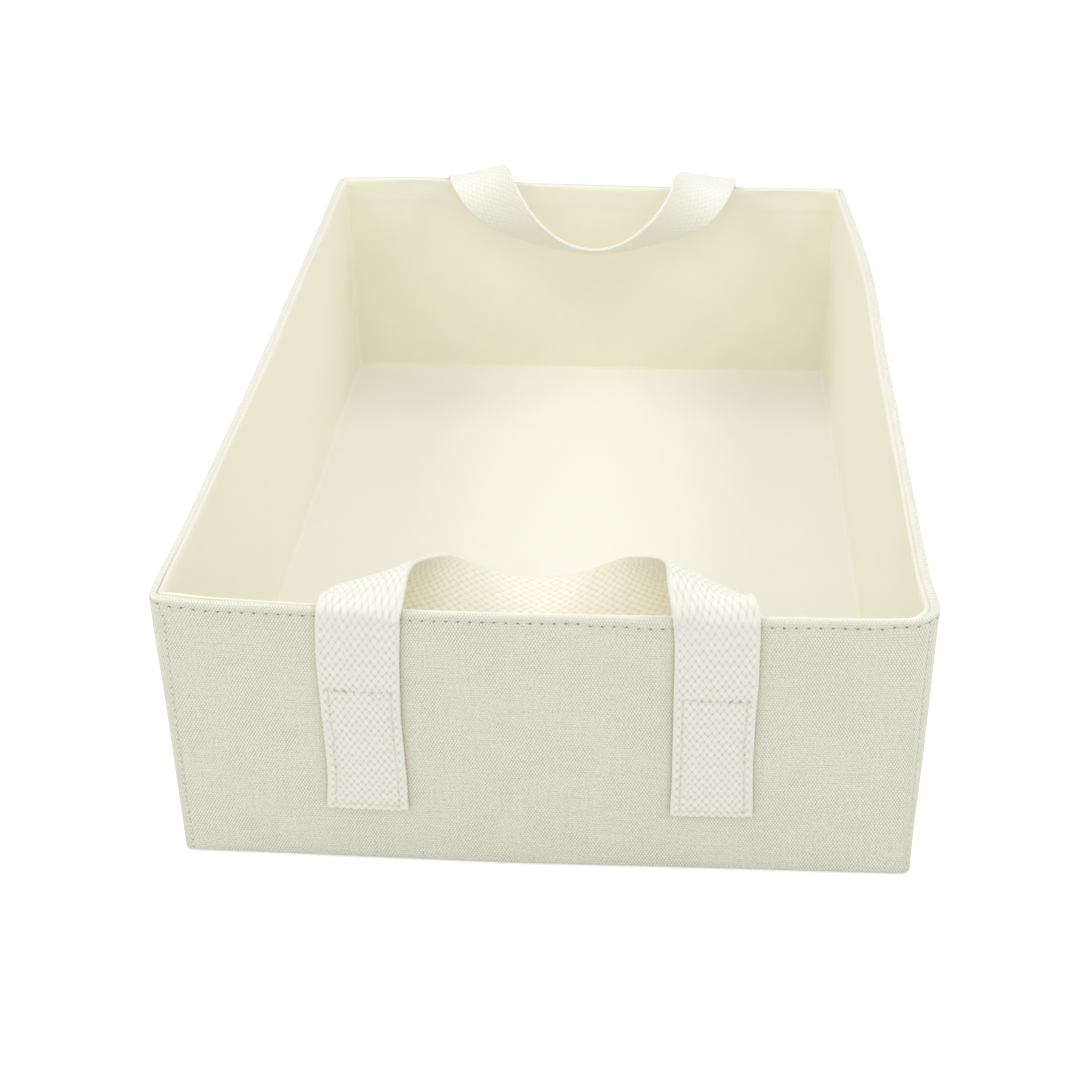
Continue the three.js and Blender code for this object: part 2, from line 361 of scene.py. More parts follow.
class Face:
    # A grid of points on a piece's outer side, which threads are laid on
    def __init__(self, points, rows, columns):
        self.points = points
        self.rows = rows
        self.columns = columns

    def at(self, row, column):
        i = np.clip(np.searchsorted(self.rows, row) - 1, 0, len(self.rows) - 2)
        j = np.clip(np.searchsorted(self.columns, column) - 1, 0, len(self.columns) - 2)
        s = ((row - self.rows[i]) / (self.rows[i + 1] - self.rows[i]))[:, None]
        t = ((column - self.columns[j]) / (self.columns[j + 1] - self.columns[j]))[:, None]
        low = self.points[i, j] * (1 - t) + self.points[i, j + 1] * t
        high = self.points[i + 1, j] * (1 - t) + self.points[i + 1, j + 1] * t
        return low * (1 - s) + high * s


# Sewing thread: every stitch is a stretched bead that dips into the cloth at both ends
thread = {
    "radius": 0.27,
    "reach": 0.43,  # half a stitch's length as a share of the pitch
    "unevenness": 0.22,
    "seed": 5,
    "segments": 6,
    "rings": 5,
    "colour": (0.86, 0.85, 0.76, 1),
    "shade": (0.66, 0.63, 0.5, 1),
}
stitches = []


def sewRow(face, rows, columns, lift):
    # One stitch between each two neighbours in a row of needle holes
    places = face.at(rows, columns)
    outward = unit(np.cross(face.at(rows, columns + 0.6) - places, face.at(rows + 0.6, columns) - places))
    starts, ends = places[:-1], places[1:]
    facing = unit(outward[:-1] + outward[1:])
    reach = np.linalg.norm(ends - starts, axis=1) * thread["reach"]
    middle = face.at((rows[:-1] + rows[1:]) / 2, (columns[:-1] + columns[1:]) / 2)
    stitches.append((middle + facing * lift, unit(ends - starts), facing, reach))


def threadMaterial():
    graph = Surface("sewingThread")
    place = graph.value("ShaderNodeTexCoord", None, None, 3)
    ply = graph.noise(place, 2500, 2)
    colour = graph.mix(ply.fade(0.3, 0.6), thread["shade"], thread["colour"])
    return graph.finish(colour, 0.8, graph.bump(ply, 0.4, 0.0001), sheen=0.1)


def stitchNodes():
    tree = bpy.data.node_groups.new("sewnStitches", "GeometryNodeTree")
    sockets = tree.interface
    sockets.new_socket(name="Geometry", in_out="INPUT", socket_type="NodeSocketGeometry")
    kinds = {"Thread radius": "Float", "Unevenness": "Float", "Seed": "Int", "Thread": "Material"}
    keys = {}
    for name, kind in kinds.items():
        socket = sockets.new_socket(name=name, in_out="INPUT", socket_type="NodeSocket" + kind)
        keys[name] = socket.identifier
    sockets.new_socket(name="Geometry", in_out="OUTPUT", socket_type="NodeSocketGeometry")
    graph = Graph(tree)
    given = graph.node("NodeGroupInput")
    get = {socket.name: Value(graph, socket) for socket in given.outputs if socket.name}
    vector, number = {"data_type": "FLOAT_VECTOR"}, {"data_type": "FLOAT"}
    along, facing, reach = (
        graph.value("GeometryNodeInputNamedAttribute", kind, {"Name": name})
        for name, kind in (("along", vector), ("facing", vector), ("reach", number))
    )
    turned = graph.value("FunctionNodeAlignRotationToVector", {"axis": "Z"}, {"Vector": along})
    settings, inputs = {"axis": "X", "pivot_axis": "Z"}, {"Rotation": turned, "Vector": facing}
    turned = graph.value("FunctionNodeAlignRotationToVector", settings, inputs)
    inputs = {2: 1 - get["Unevenness"], 3: 1 + get["Unevenness"], "Seed": get["Seed"]}
    uneven = graph.value("FunctionNodeRandomValue", number, inputs, 1)
    thick = get["Thread radius"] * uneven
    size = graph.value("ShaderNodeCombineXYZ", None, {"X": thick, "Y": thick * 1.15, "Z": reach})
    bead = graph.value("GeometryNodeMeshUVSphere", None, {0: thread["segments"], 1: thread["rings"], 2: 1.0})
    bead = graph.value("GeometryNodeSetShadeSmooth", None, {"Geometry": bead})
    inputs = {"Points": get["Geometry"], "Instance": bead, "Rotation": turned, "Scale": size}
    placed = graph.value("GeometryNodeInstanceOnPoints", None, inputs)
    real = graph.value("GeometryNodeRealizeInstances", None, {"Geometry": placed})
    done = graph.value("GeometryNodeSetMaterial", None, {"Geometry": real, "Material": get["Thread"]})
    graph.node("NodeGroupOutput", None, [done])
    return tree, keys


def makeThread(name, material):
    centres, along, facing, reach = (np.concatenate(column) for column in zip(*stitches))
    mesh = pointMesh(name + "Points", centres)
    for key, vectors in (("along", along), ("facing", facing)):
        attribute = mesh.attributes.new(key, "FLOAT_VECTOR", "POINT")
        attribute.data.foreach_set("vector", vectors.astype(np.float32).ravel())
    mark(mesh, "reach", reach * mm)
    points = linked(name + "Points", mesh)
    tree, keys = stitchNodes()
    modifier = points.modifiers.new("stitches", "NODES")
    modifier.node_group = tree
    modifier[keys["Thread radius"]] = thread["radius"] * mm
    modifier[keys["Unevenness"]] = thread["unevenness"]
    modifier[keys["Seed"]] = thread["seed"]
    modifier[keys["Thread"]] = material
    evaluated = points.evaluated_get(bpy.context.evaluated_depsgraph_get())
    sewn = bpy.data.meshes.new_from_object(evaluated)
    sewn.name = name
    bpy.data.objects.remove(points)
    print(f"{name}: {len(centres)} stitches, {len(sewn.polygons)} faces")
    return linked(name, sewn)


# The tray's outline, seen from above: front side, front right corner, right side and so on round
def outlineLengths(inset, radii):
    a, b = halfWidth - inset, halfLength - inset
    lengths = []
    for k, side in enumerate((a, b, a, b)):
        lengths += [2 * side - radii[k - 1] - radii[k], radii[k] * math.pi / 2]
    return np.array(lengths)


def outlinePoints(part, share, inset, radii):
    # part: 0 front side, 1 front right corner, 2 right side ...; share: 0 to 1 along that part
    a, b = halfWidth - inset, halfLength - inset
    ways = [(1, -1), (1, 1), (-1, 1), (-1, -1)]
    centres = [(wayX * (a - radius), wayY * (b - radius)) for (wayX, wayY), radius in zip(ways, radii)]
    x, y = np.zeros((2, *np.broadcast(part, share, inset).shape))
    for k in range(4):
        # The side runs from the arc before it to the arc after it, and faces the way in which that arc starts
        angle = (k - 1) * math.pi / 2
        facing = np.round([math.cos(angle), math.sin(angle)])
        starts, ends = ([centres[n][axis] + radii[n] * facing[axis] for axis in (0, 1)] for n in (k - 1, k))
        here = part == 2 * k
        x = np.where(here, starts[0] + share * (ends[0] - starts[0]), x)
        y = np.where(here, starts[1] + share * (ends[1] - starts[1]), y)
        here = part == 2 * k + 1
        angle = (k - 1 + share) * math.pi / 2
        x = np.where(here, centres[k][0] + radii[k] * np.cos(angle), x)
        y = np.where(here, centres[k][1] + radii[k] * np.sin(angle), y)
    return x, y


def stationsAt(lengths, places):
    ends = np.cumsum(lengths)
    part = np.clip(np.searchsorted(ends, places, side="right"), 0, 7)
    share = (places - (ends[part] - lengths[part])) / lengths[part]
    return part, share


# Outer canvas
canvas = {
    "thickness": 0.8,
    "radii": [3.2, 4.0, 4.0, 2.6],  # of the corners at the base, from the front right one round
    "rimRadii": [9.0, 5.0, 5.0, 5.3],
    "roundings": [1.0, 1.0, 1.0, 2.0],  # how late up the wall each corner grows round
    "edge": 1.0,
    "fold": 1.3,  # how far the canvas reaches in over the top edge of the boards
    "faceRows": 30,
    "columnsForStitch": 5,
    "waves": [(0.2, 23, 31, 0), (0.15, 9.5, -17, 1.3)],
    "weftPitch": 1.03,
    "warpPitch": 0.54,
    "gap": (0.585, 0.575, 0.46, 1),
    "colour": (0.80, 0.81, 0.69, 1),
    "pale": (0.93, 0.935, 0.86, 1),
    "warm": (0.76, 0.72, 0.57, 1),
    # painted shade on the canvas beside the webbing's legs
    "contactShade": (0.62, 0.54, 0.38, 1),
    # painted shade in the needle holes
    "hole": (0.2, 0.17, 0.1, 1),
}
outerLengths = outlineLengths(0, canvas["rimRadii"])
outerRound = outerLengths.sum()
rimStitches = round(outerRound / stitching["rimPitch"])
rimPitch = outerRound / rimStitches
stitchLine = trayHeight - stitching["rimDrop"]

# How far the rim row lies below the rim, by place round the outline; it was guided by hand
rimRowDrops = [(0, 1.9), (4.4, 3.3), (7.7, 2.7), (12.3, 3.6), (44, 3.44), (86, 3.64), (102, 3.3),
               (132, 3.27), (141, 2.97), (146, 3.04), (150, 4.04), (163, 4.1), (167, 4.78), (176, 4.75),
               (192, 4.2), (210, 3.6), (232, 3.37), (252, 3.55), (255, 2.63), (263, 2.74), (268, 2.11),
               (282, 3.1), (330, 3.5), (480, 3.3), (640, 3.6), (700, 3.0), (830, 3.4), (960, 3.7),
               (1100, 3.3), (1250, 3.6), (1340, 3.3), (1380, 1.9)]

# The rim by station: 0 to 1 along the front from its left end, 1 to 2 round the next corner, and so on round.
# fold: how far the canvas reaches in; inner: where the lining's edge ends; grooveShade: how much painted
# shade, tan from bounced light, lies in the gap between canvas and lining; sideRimShade: painted shade on the
# lining's edge, stronger along the sides than at the front
rimShape = {
    "fold": [(0, 3.6), (0.045, 2.9), (0.13, 2.4), (0.22, 1.7), (0.3, 1.05), (0.95, 0.95), (1.15, 1.5),
             (1.5, 3.0), (2.05, 3.7), (2.2, 3.3), (2.9, 3.0), (3.5, 2.0), (4.1, 1.6), (4.9, 1.6), (5.5, 2.2),
             (6.1, 2.7), (6.9, 2.7), (7.5, 3.1), (8, 3.6)],
    "inner": [(0, 5.9), (0.02, 5.7), (0.045, 4.7), (0.1, 4.1), (0.15, 3.7), (0.24, 3.0), (0.33, 2.4),
              (0.55, 2.1), (0.97, 2.2), (1.2, 3.4), (1.5, 4.8), (2.03, 5.3), (2.2, 4.9), (2.9, 4.9),
              (3.5, 4.4), (4.1, 4.15), (4.9, 4.15), (5.5, 4.4), (6.1, 4.5), (6.6, 4.4), (6.8, 4.2),
              (7.0, 4.2), (7.5, 5.0), (8, 5.9)],
    "grooveShade": [(0, 0.9), (0.2, 0.9), (0.3, 0.6), (0.5, 0.4), (0.75, 0.15), (1.2, 0.1), (2.0, 0.5), (2.12, 0.6),
             (2.3, 0.15), (3, 0.1), (6.6, 0.1), (6.85, 0.3), (6.95, 0.4), (7.5, 0.5), (8, 0.9)],
    "sideRimShade": [(0, 0), (1, 0.1), (1.5, 0.6), (2.1, 0.8), (6.9, 0.8), (7.5, 0.5), (8, 0)],
}


def rimAt(key, station):
    return between(rimShape[key], station)


def uprightRows():
    # Where round the outline the upright rows start at the base, and how far they drift for each mm of height
    ends = np.cumsum(outerLengths)
    backRight, backLeft = ends[3] - 1.4, ends[4] + 1.4
    rows = [(0.9, 0.4), (ends[0] + 4.7, ends[0] + 7.4), (backRight, backRight), (backLeft, backLeft)]
    return [(low, (high - low) / trayHeight) for low, high in rows]


def canvasMaterial():
    graph = Surface("undyedCanvas")
    u, v = graph.clothPlace()
    slack = graph.noise(graph.join(u, v), 0.09, 2) - 0.5
    drift = graph.noise(graph.join(v, u, 7.0), 0.07, 2) - 0.5
    warp = ((u / canvas["warpPitch"] + slack * 1.2) * math.pi).sine()
    weft = ((v / canvas["weftPitch"] + drift * 1.0) * math.pi).sine()
    over = warp * weft
    thick = graph.unevenYarns(u, v, (0.06, 1.1), (2.0, 0.05))
    patch = graph.noise(graph.join(u, v, 3.0), 0.05, 2).fade(0.36, 0.62)
    speck = graph.noise(graph.join(u * 1.3, v * 1.1), 1.0, 1) - 0.5
    tone = 0.5 + over * (patch * 0.34 + 0.26) + (weft.absolute() - 0.64) * 0.3 + thick * 0.26 + speck * 0.75
    colour = graph.mix(tone.fade(0.02, 0.62), canvas["gap"], canvas["colour"])
    colour = graph.mix(tone.fade(0.55, 1.05), colour, canvas["pale"])
    fleck = graph.noise(graph.join(u * 0.5, v * 0.9), 1.0, 3).fade(0.56, 0.75)
    cloud = graph.noise(graph.join(u, v), 0.03, 3).fade(0.4, 0.7)
    colour = graph.mix(fleck * 0.2 + cloud * 0.16, colour, canvas["warm"])
    # Paler strip from above the rim row to the rim: partly worn, paler cloth, partly painted highlight where
    # the fold faces up into the light
    rim = v.fade(stitchLine + 1.0, stitchLine + 2.6)
    colour = graph.mix(rim * 0.3, colour, canvas["pale"])
    # Painted shade on the canvas beside the webbing's edges
    colour = graph.mix(graph.attribute("contactShade") * 0.55, colour, canvas["contactShade"])
    # Painted shade in the needle holes along the rim row
    wide, high = stitching["rimHole"]
    beside = ((u / rimPitch + (0.5 - stitching["rimPhase"])).fraction() - 0.5) * rimPitch
    hole = 1 - ((beside / wide) ** 2 + ((v - stitchLine) / high) ** 2).fade(0.5, 1.6)
    # Painted shade in the needle holes of the upright rows, on the front and the back
    wide, high = stitching["uprightHole"]
    faint = graph.noise(graph.join(v * 0.13, 0.0, 9.0), 1.0, 1).fade(0.3, 0.7)
    for row, drift in uprightRows():
        sideways = u - row - v * drift
        upright = ((v / stitching["uprightPitch"]).fraction() - 0.5) * stitching["uprightPitch"]
        spot = 1 - ((sideways / wide) ** 2 + (upright / high) ** 2).fade(0.5, 1.6)
        hole = hole + spot * (0.25 + faint * 0.45) * (1 - v.greater(stitchLine - 2))
    colour = graph.mix(hole.atMost(1) * 0.8, colour, canvas["hole"])
    relief = over * 0.05 * mm + weft.absolute() * 0.05 * mm + thick * 0.08 * mm
    return graph.finish(colour, 0.92, graph.bump(relief), sheen=0.1)


canvasLook = canvasMaterial()


def makeCanvas():
    count = rimStitches * canvas["columnsForStitch"]
    places = np.arange(count) * outerRound / count
    part, share = stationsAt(outerLengths, places)
    thick, edge, fold, row = canvas["thickness"], canvas["edge"], canvas["fold"], stitchLine
    top = trayHeight
    section = [(3.4, 0.16), (2.4, 0.06), (1.2, 0.02), (0.5, 0.18), (0.12, 0.55)]
    section += [(0.0, z) for z in np.linspace(edge, row - 2.0, canvas["faceRows"])]
    section += [(0.0, row - 1.1), (0.07, row - 0.6), (0.14, row - 0.25), (0.17, row), (0.14, row + 0.25)]
    section += [(0.06, row + 0.6), (-0.04, row + 1.2), (-0.06, row + 1.9), (0.0, row + 2.5)]
    section += [(0.2, top - 0.45), (0.5, top - 0.12), (0.8, top), (1.08, top - 0.1), (1.24, top - 0.3)]
    section += [(fold, top - 0.5), (fold - 0.08, top - 0.8), (1.0, top - thick - 0.1), (thick, top - 1.0)]
    section += [(thick, top - 1.4), (thick, 57), (thick, 1.6), (1.1, thick + 0.02), (3.4, thick - 0.02)]
    insets, heights = (np.array(column)[:, None] for column in zip(*section))
    outer = np.arange(len(section))[:, None] < canvas["faceRows"] + 15
    tip = section.index((fold, top - 0.5))
    over = slice(tip - 3, tip + 3)
    insets = insets + np.zeros(count)
    heights = heights + np.zeros(count)
    insets[over] = 0.5 + (insets[over] - 0.5) * (rimAt("fold", part + share) - 0.5) / (fold - 0.5)
    # Puckers between the stitches, strongest in the strip above the row
    swell = np.cos(2 * np.pi * (places / rimPitch - stitching["rimPhase"]))
    rng = np.random.default_rng(stitching["seed"])
    uneven = np.interp(places / rimPitch, np.arange(rimStitches + 1), rng.uniform(0.4, 1.3, rimStitches + 1))
    strip = outer * np.exp(-(((heights - row - 1.2) / 1.5) ** 2))
    line = outer * np.exp(-(((heights - row) / 0.45) ** 2))
    insets = insets + strip * stitching["pucker"] * swell * uneven
    insets = insets + line * stitching["pull"] * np.clip(swell, 0, 1) * uneven
    wave = clothWaves(canvas["waves"], places, heights)
    insets = insets - wave * outer * np.clip(heights / 20, 0, 1) * np.clip((row - heights) / 12, 0, 1)
    # The upright rows press a shallow groove
    for start, drift in uprightRows():
        gap = np.abs((places - start - drift * heights + outerRound / 2) % outerRound - outerRound / 2)
        groove = stitching["groove"] * np.exp(-(gap**2))
        groove = groove - stitching["ridge"] * np.exp(-(((gap - 2.4) / 1.2) ** 2))
        insets = insets + groove * outer * np.clip((row + 1 - heights) / 3, 0, 1) * (heights > 0.9)
    wander = stitching["rimDrop"] - between(rimRowDrops, places)
    heights = heights + np.exp(-(((heights - row) / 2.2) ** 2)) * wander
    level = np.clip(heights / top, 0, 1)
    radii = [
        np.maximum(low + (high - low) * level**late - insets, 0.35)
        for low, high, late in zip(canvas["radii"], canvas["rimRadii"], canvas["roundings"])
    ]
    x, y = outlinePoints(part, share, insets, radii)
    points = np.stack([x, y, heights], -1)
    points = points + lean(points)
    up = np.concatenate([[0], np.cumsum(np.hypot(*np.diff(np.array(section).T)))])
    rowAt = section.index((0.17, row))
    up = up - up[rowAt] + row
    around, upward = np.append(places, outerRound), np.append(up, up[-1] + 1)
    piece = closedBand("outerCanvas", points, around, upward, canvasLook)
    sewn = slice(5, rowAt + 8)
    columns = np.arange(count + 2) * outerRound / count
    face = Face(np.concatenate([points, points[:, :2]], 1)[sewn], up[sewn], columns)
    return piece, face


def sewCanvas(face, legs):
    holes = (np.arange(rimStitches) + stitching["rimPhase"]) * rimPitch
    ends = np.cumsum(outerLengths)
    frontX = holes - halfWidth + canvas["rimRadii"][3]
    backX = ends[3] + halfWidth - canvas["rimRadii"][1] - holes
    onFront, onBack = holes < ends[0], (holes > ends[3]) & (holes < ends[4])
    # No stitches under the webbing legs
    hidden = np.zeros(len(holes), bool)
    for end, side, x in (("front", onFront, frontX), ("back", onBack, backX)):
        for centre in legs[end]:
            hidden |= side & (np.abs(x - centre) < stitching["underLeg"])
    for run in np.split(holes, np.flatnonzero(hidden)):
        run = run[~np.isin(run, holes[hidden])]
        if len(run) > 1:
            sewRow(face, np.full(len(run), stitchLine), run, stitching["threadLift"])
    for start, drift in uprightRows():
        rows = np.arange(0.5, (stitchLine - 3) / stitching["uprightPitch"]) * stitching["uprightPitch"]
        sewRow(face, rows, start + drift * rows, stitching["threadLift"])


outerCanvas, canvasFace = makeCanvas()


def slabBetween(name, xs, ys, low, high, material, waves=()):
    x, y = np.meshgrid(xs, ys)
    ripple = clothWaves(waves, x, y)
    edge = np.minimum(np.minimum(x - xs[0], xs[-1] - x), np.minimum(y - ys[0], ys[-1] - y))
    ripple = ripple * np.clip(edge / 12, 0, 1)
    top = np.stack([x, y, high + ripple], -1)
    bottom = np.stack([x, y, low + 0 * ripple], -1)
    return closedSlab(name, top + lean(top), bottom + lean(bottom), xs, ys, material)


baseInset, baseGap = 3.6, 0.08
baseX = np.linspace(-halfWidth + baseInset, halfWidth - baseInset, 40)
baseY = np.linspace(-halfLength + baseInset, halfLength - baseInset, 60)
baseTop = canvas["thickness"] - baseGap / 2
outerBase = slabBetween("outerBase", baseX, baseY, baseGap, baseTop, canvasLook)
print("canvas ready")


# Stiffening boards, hidden between the cloths
board = {
    "thickness": 2.0,
    "inset": 1.0,
    "top": 112.6,
    "bottom": 1.0,
    "colour": (0.47, 0.41, 0.3, 1),
    "specks": [(0.40, 0.34, 0.24, 1), (0.55, 0.49, 0.37, 1)],
}


def boardMaterial():
    graph = Surface("greyBoard")
    place = graph.value("ShaderNodeTexCoord", None, None, 3)
    speck = graph.noise(place, 900, 4, 0.6)
    cloud = graph.noise(place, 30, 3)
    colour = graph.mix(speck, *board["specks"])
    colour = graph.mix(cloud * 0.4, colour, board["colour"])
    return graph.finish(colour, 0.9, graph.bump(speck, 0.3, 0.0002))


boardLook = boardMaterial()


def uprightBoard(name, start, end):
    # A board that stands from start to end, seen from above, and follows the lean of its wall
    start, end = np.array(start), np.array(end)
    share = np.linspace(0, 1, 60)[None, :, None]
    heights = np.linspace(board["bottom"], board["top"], 20)[:, None, None]
    line = start + share * (end - start)
    outward = np.array([end[1] - start[1], start[0] - end[0]]) / np.linalg.norm(end - start)
    faces = []
    for side in (0.5, -0.5):
        flat = line + outward * side * board["thickness"] + 0 * heights
        faces.append(np.concatenate([flat, heights + 0 * flat[..., :1]], -1))
    across = np.linspace(0, np.linalg.norm(end - start), 60)
    outerFace, innerFace = (face + lean(face) for face in faces)
    return closedSlab(name, outerFace, innerFace, across, heights.ravel(), boardLook)


def makeBoards():
    middle = board["inset"] + board["thickness"] / 2
    a, b = halfWidth - middle, halfLength - middle
    frontRight, backRight, backLeft, frontLeft = (radius - board["inset"] for radius in canvas["rimRadii"])
    w, l = halfWidth, halfLength
    lines = {
        "frontBoard": [(-w + frontLeft, -b), (w - frontRight, -b)],
        "rightBoard": [(a, -l + frontRight), (a, l - backRight)],
        "backBoard": [(w - backRight, b), (-w + backLeft, b)],
        "leftBoard": [(-a, l - backLeft), (-a, -l + frontLeft)],
    }
    made = {name: uprightBoard(name, *line) for name, line in lines.items()}
    gap = board["thickness"] / 2 + 0.3
    xs, ys = np.linspace(-a + gap, a - gap, 30), np.linspace(-b + gap, b - gap, 40)
    low = board["bottom"]
    made["baseBoard"] = slabBetween("baseBoard", xs, ys, low, low + board["thickness"], boardLook)
    return made


boards = makeBoards()
print("boards ready")


# Lining
lining = {
    "thickness": 0.7,
    "face": 3.9,  # inset of the inner face from the outside of the canvas
    "hemDepth": 13,
    "hemThickness": 0.2,
    "radii": [6.4, 1.3, 1.3, 1.9],
    "columns": 1100,
    "yarn": 0.42,
    "wallWaves": [(0.28, 29, 23, 0.7), (0.17, 11, 37, 0)],
    "floorWaves": [(0.12, 26, 41, 0), (0.12, 47, -29, 2)],
    # The rolled edge: share of the way from the canvas's fold to the inner edge, and drop below the rim
    "rolled": [(-0.3, 1.25), (-0.1, 0.98), (-0.02, 0.4), (0.16, 0.28), (0.32, 0.08), (0.5, -0.02),
               (0.7, -0.02), (0.88, 0.12), (1.0, 0.45)],
    # The same cloth on the walls and the floor: the walls' colours are painted warmer and yellower for the
    # warm shade between them, the floor's paler for the stronger light on it
    "colour": (0.93, 0.905, 0.785, 1),
    "deep": (0.895, 0.86, 0.72, 1),
    "pale": (0.955, 0.945, 0.89, 1),
    "floor": (0.915, 0.903, 0.835, 1),
    "floorDeep": (0.885, 0.87, 0.785, 1),
    # painted shade in the gap between canvas and lining, tan from bounced light
    "grooveShade": (0.7, 0.59, 0.36, 1),
    # painted shade on the lining's edge along the sides
    "sideRimShade": (0.79, 0.79, 0.69, 1),
}


def liningMaterial(name, rim):
    graph = Surface(name)
    u, v = graph.clothPlace()
    warp, weft = ((place * (math.pi / lining["yarn"])).sine() for place in (u, v))
    slub = graph.unevenYarns(u, v, (0.05, 1.3), (1.6, 0.04))
    cloud = graph.noise(graph.join(u, v), 0.03, 3)
    # Walls and floor are one cloth; their colours differ as painted shade on the walls and painted light on
    # the floor
    deep, plain = (lining["deep"], lining["colour"]) if rim else (lining["floorDeep"], lining["floor"])
    colour = graph.mix(0.55 + warp * weft * 0.2 + slub * 0.6, deep, plain)
    colour = graph.mix((cloud - 0.4) * 0.35, colour, lining["pale"])
    if rim:
        colour = graph.mix(v.fade(trayHeight - 4.0, trayHeight - 0.8) * 0.5, colour, lining["pale"])
        # Painted shade on the lining's rolled edge, stronger along the sides, where less light falls than at
        # the front
        colour = graph.mix(graph.attribute("sideRimShade"), colour, lining["sideRimShade"])
        # Painted shade in the gap between the canvas's fold and the lining, tan from the light bounced in it
        colour = graph.mix(graph.attribute("groove"), colour, lining["grooveShade"])
    normal = graph.bump(warp * weft * 0.015 * mm + slub * 0.04 * mm)
    return graph.finish(colour, 0.85, normal, sheen=0.1)


def makeLining():
    radii = lining["radii"]
    lengths = outlineLengths(lining["face"], radii)
    count = lining["columns"]
    places = np.arange(count) * lengths.sum() / count
    part, share = stationsAt(lengths, places)
    top, face, hem = trayHeight, lining["face"], lining["hemThickness"]
    hemLine = top - lining["hemDepth"]
    back = face - lining["thickness"]
    rolled = lining["rolled"]
    section = [(back, 3.3), (back, 57), (back, top - 1.3)]
    first = len(section)
    edge = slice(first, first + len(rolled))
    section += [(back + share * (face + hem - back), top - drop) for share, drop in rolled]
    section += [(face + hem, z) for z in np.linspace(top - 2.2, hemLine + 1.5, 8)]
    section += [(face + hem * 0.75, hemLine + 0.6), (face + hem * 0.25, hemLine - 0.6), (face, hemLine - 1.5)]
    section += [(face, z) for z in np.linspace(hemLine - 3, 8, 22)]
    section += [(face, 6), (face + 0.1, 4.8), (face + 0.5, 4.1), (face + 1.4, 3.95), (face + 1.6, 3.4)]
    grooveRow = first + 2
    insets, heights = (np.array(column)[:, None] for column in zip(*section))
    # How much painted shade lies in the gap between canvas and lining; the same amount dips the edge a little
    depth = rimAt("grooveShade", part + share) * (0.85 + 0.2 * np.sin(places / 7.3) * np.sin(places / 17))
    groove = np.zeros((len(section), count))
    groove[grooveRow] = groove[grooveRow + 1] = depth
    groove[grooveRow + 2] = 0.3 * depth
    insets = insets + np.zeros(count)
    heights = heights - 0.12 * groove
    # Painted shade on the rolled edge, by station round the rim
    sideRimShade = np.zeros((len(section), count))
    sideRimShade[grooveRow: edge.stop - 2] = rimAt("sideRimShade", part + share)
    fold, inner = rimAt("fold", part + share), rimAt("inner", part + share)
    insets[edge] = fold + np.array(rolled)[:, :1] * (inner - fold)
    below = slice(edge.stop, None)
    rising = np.clip((heights[below] - hemLine + 12) / 22, 0, 1)
    insets[below] += np.maximum(inner - face - hem, 0) * rising**2
    wave = clothWaves(lining["wallWaves"], places, heights)
    inside = (insets > face - 0.2) & (heights < top - 2)
    insets = insets + wave * inside * np.clip((heights - 4) / 15, 0, 1)
    # Round the corners the edge leaves the canvas's fold and ends on the lining's own curve
    own = np.ones((len(section), 1))
    own[edge, 0] = np.clip([share for share, _ in rolled], 0, 1)
    grown = [
        np.maximum(rim + (radius + face - rim) * own - insets, 0.4)
        for radius, rim in zip(radii, canvas["rimRadii"])
    ]
    x, y = outlinePoints(part, share, insets, grown)
    points = np.stack([x, y, heights], -1)
    points = points + lean(points)
    up = np.concatenate([[0], np.cumsum(np.hypot(*np.diff(np.array(section).T)))])
    up = trayHeight - np.abs(up - up[grooveRow + 2])
    around, upward = np.append(places, lengths.sum()), np.append(up, up[0])
    look, values = liningMaterial("ivoryLining", True), {"groove": groove, "sideRimShade": sideRimShade}
    return closedBand("liningWalls", points, around, upward, look, values)


liningWalls = makeLining()
floorInset = lining["face"] + 0.3
floorX = np.linspace(-halfWidth + floorInset, halfWidth - floorInset, 90)
floorY = np.linspace(-halfLength + floorInset, halfLength - floorInset, 140)
liningFloor = slabBetween(
    "liningFloor", floorX, floorY, floorTop - lining["thickness"] + 0.05, floorTop,
    liningMaterial("ivoryFloor", False), lining["floorWaves"],
)
print("lining ready")


# Carrying straps: one length of webbing for each end
webbing = {
    "width": 30,
    "thickness": 2.0,
    "cells": 72,  # across
    "rowsForRepeat": 7.4,
    "repeat": 4.4,  # of one column's knuckles, along the webbing
    "knuckleColumns": 20,
    "columnPitch": 1.37,
    "knuckleWide": 1.24,  # half sizes
    "knuckleLong": 2.0,
    "relief": 0.42,
    "selvedge": 1.1,
    "edgePitch": 2.1,
    # painted shade in the weave's pits and creases
    "pitShade": (0.5, 0.46, 0.33, 1),
    "creaseShade": (0.64, 0.61, 0.47, 1),
    "colour": (0.86, 0.865, 0.77, 1),
    "pale": (0.94, 0.94, 0.885, 1),
    # the inner face's colours: painted warm light and shade for the light bounced under the loop
    "under": (0.93, 0.89, 0.755, 1),
    "underCreaseShade": (0.78, 0.66, 0.43, 1),
    # painted shade in the needle holes
    "hole": (0.2, 0.17, 0.1, 1),
    "fleck": (0.88, 0.83, 0.69, 1),
    "legDepth": 1.2,  # of the legs' middle surface, outside the canvas
    "turnDrop": 1.5,  # where the legs start to turn, below the rim
    "smoothing": 2.2,  # of the edges along the webbing, over the turn and a stretch beyond it
    "smoothReach": 31,
    "smoothFade": 15,
    "rimHalf": 1.95,  # the rim's section, which the webbing stays off: half its width, and its rounding
    "rimRound": 1.2,
    # By distance from the webbing's end: how much the weave is stretched, and how much is left of its depth,
    # given as the strength of the painted shade in its creases and pits
    "stretch": [(0, 0.86), (60, 0.95), (80, 1.1), (92, 1.15), (110, 1.05), (140, 1.0)],
    "worn": [(60, 1), (85, 0.6), (110, 0.6), (150, 1)],
    "clearance": 1.15,  # from the rim to the webbing's middle
    "contactReach": 1.1,
}
